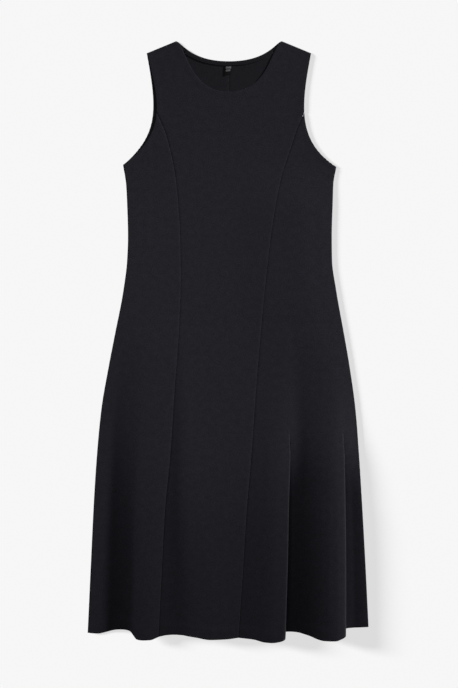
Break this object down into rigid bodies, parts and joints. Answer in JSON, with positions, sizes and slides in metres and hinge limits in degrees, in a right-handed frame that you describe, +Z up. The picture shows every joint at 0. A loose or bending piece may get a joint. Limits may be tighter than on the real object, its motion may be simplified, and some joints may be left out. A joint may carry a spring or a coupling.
{
  "type": "a-line midi dress",
  "caption": "Sleeveless A-line midi dress in black knit, laid flat: round neck, princess seams, and a flared skirt with long folds that open at the hem.",
  "frame": {"origin": "middle of the dress on the surface that it lies on", "axes": "+X across the dress to the wearer's left, +Y from hem to neck, +Z up from the surface, out of the front"},
  "size_m": [0.5359, 1.145, 0.0287],
  "materials": {
    "knit_face": "matte black ponte knit, dense, with a faint cool cast and a fine even grain",
    "knit_back": "inside face of the same knit, a little flatter and darker",
    "binding": "self-fabric neck binding, matte black",
    "ribbon": "black satin-woven label ribbon"
  },
  "bodies": {
    "root": {"front_centre": "knit_face", "front_side_right": "knit_face", "front_side_left": "knit_face", "back_right": "knit_back", "back_left": "knit_back", "back_neck_binding": "binding", "label": "ribbon"}
  },
  "joints": []
}
